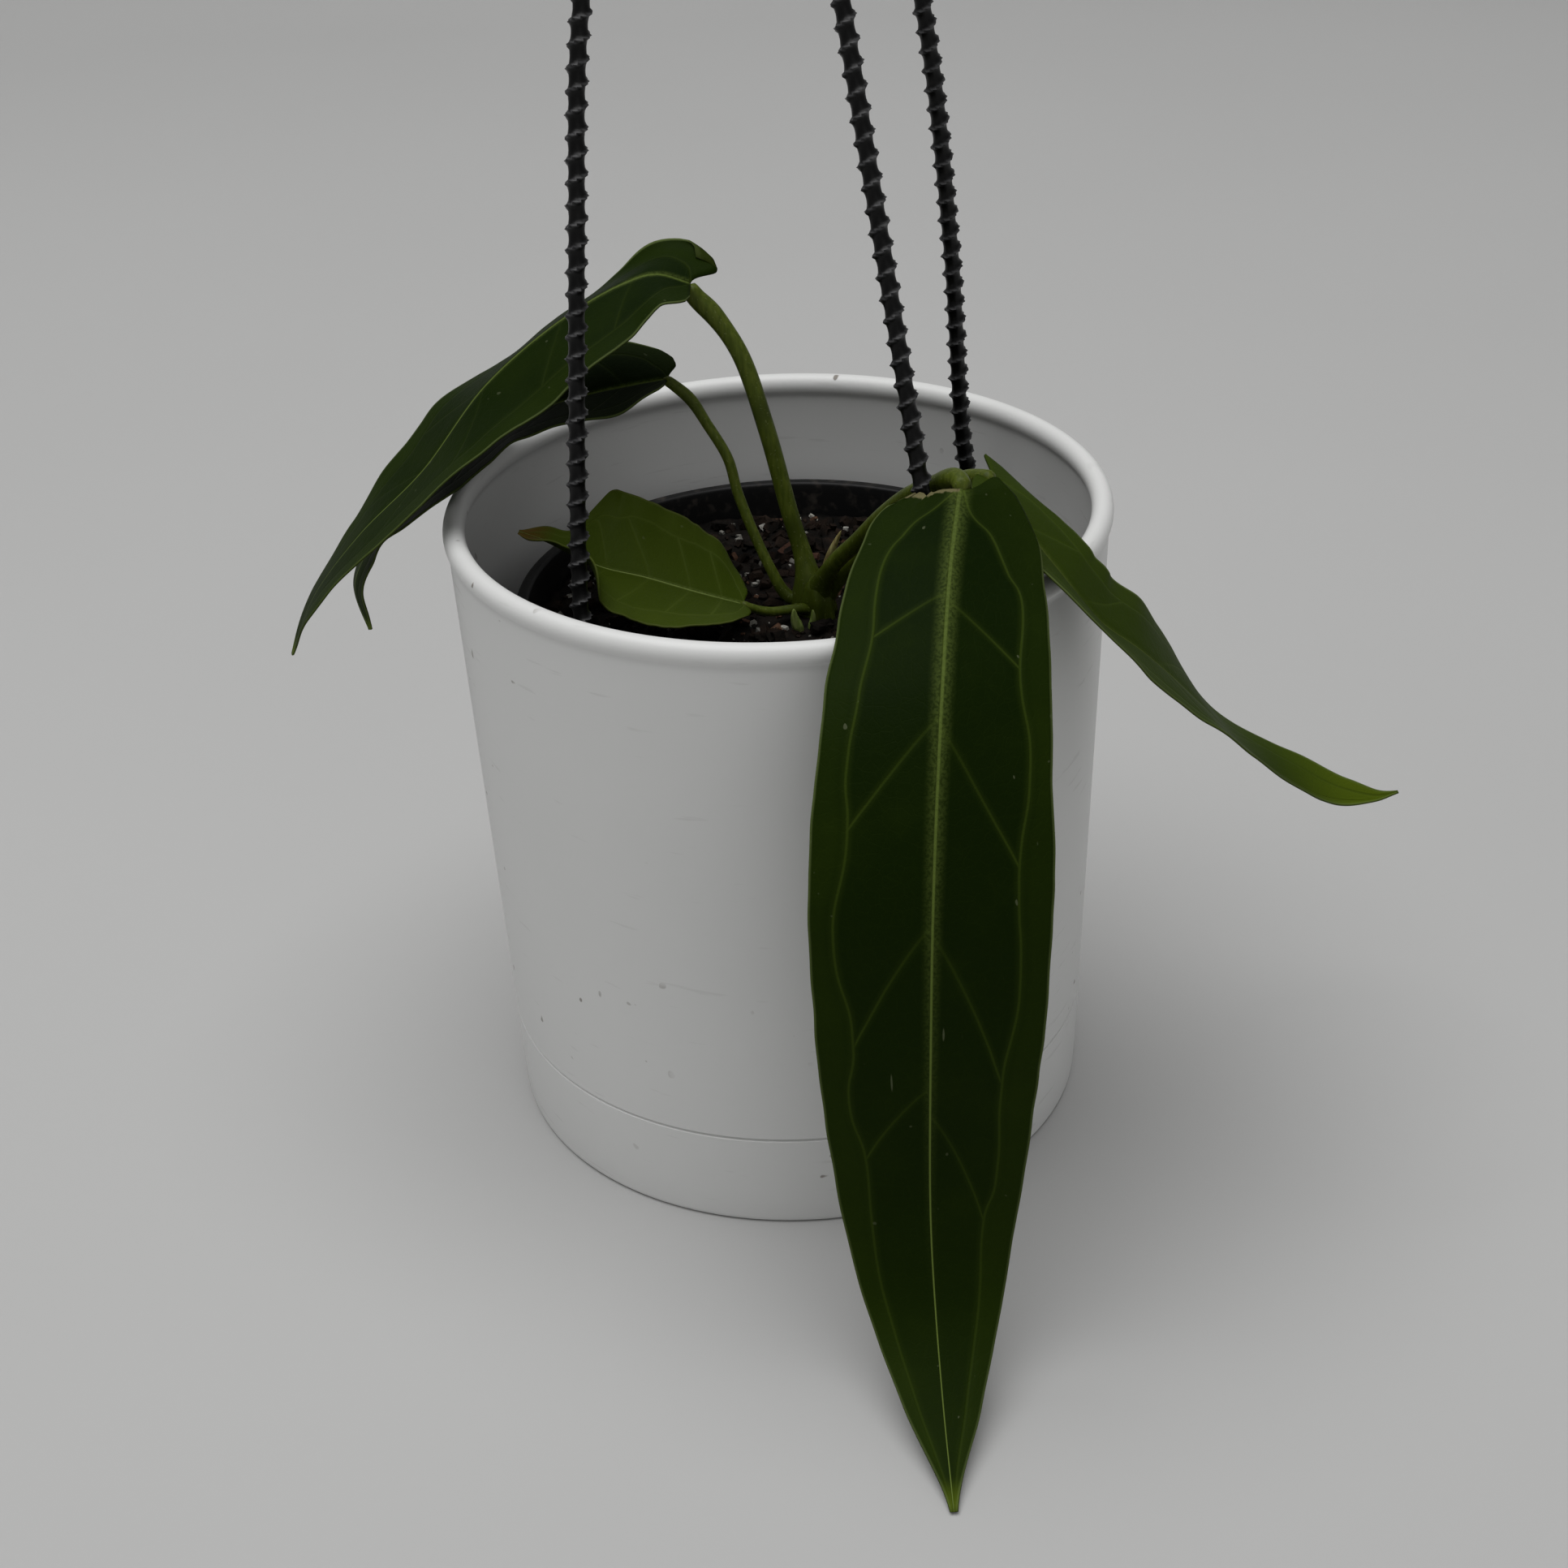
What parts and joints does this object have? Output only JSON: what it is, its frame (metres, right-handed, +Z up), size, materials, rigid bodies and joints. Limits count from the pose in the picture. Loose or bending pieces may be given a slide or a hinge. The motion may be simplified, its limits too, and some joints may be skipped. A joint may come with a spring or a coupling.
{
  "type": "potted anthurium",
  "caption": "Strap-leaf anthurium in a black nursery pot with a ribbed plastic hanger, standing in a round white cover pot; a leaf hangs down to the floor",
  "frame": {"origin": "centre of the flat underside of the cover pot, on the floor", "axes": "+Z up through the pots and the hanger's hook; -Y towards the viewer, the side the long leaf hangs down; +X to the viewer's right"},
  "size_m": [0.2848, 0.2661, 0.4687],
  "materials": {
    "white_plastic": "smooth satin white polypropylene with a slightly glossier rolled rim, faint scuffs and specks of soil",
    "black_plastic": "moulded black polypropylene, satin, grey glints on the ribs",
    "potting_mix": "damp dark bark chips with crumbs of white and grey perlite, fully rough",
    "leaf_green": "very dark velvety green blade with a pale midrib, arching side veins and a thin light margin",
    "young_green": "lighter olive green young blade and shoot, softly glossy",
    "stem_green": "mid green petioles and stem, softly glossy, a little browner at the sheath",
    "dry_scale": "papery pale brown scale leaf, matt"
  },
  "bodies": {
    "root": {"cover_pot": "white_plastic", "nursery_pot": "black_plastic", "potting_mix": "potting_mix", "plant_crown": "stem_green", "cataphyll": "dry_scale", "young_shoot": "young_green", "hanger_hub": "black_plastic", "hanger_hook": "black_plastic", "petiole_left_upper": "stem_green", "leaf_left_upper": "leaf_green", "petiole_left_lower": "stem_green", "leaf_left_lower": "leaf_green", "petiole_young": "stem_green", "leaf_young": "young_green", "petiole_front": "stem_green", "leaf_front": "leaf_green", "petiole_right": "stem_green", "leaf_right": "leaf_green", "hanger_strand_front_left": "black_plastic", "hanger_clip_front_left": "black_plastic", "hanger_strand_front_right": "black_plastic", "hanger_clip_front_right": "black_plastic", "hanger_strand_back_right": "black_plastic", "hanger_clip_back_right": "black_plastic"}
  },
  "joints": []
}
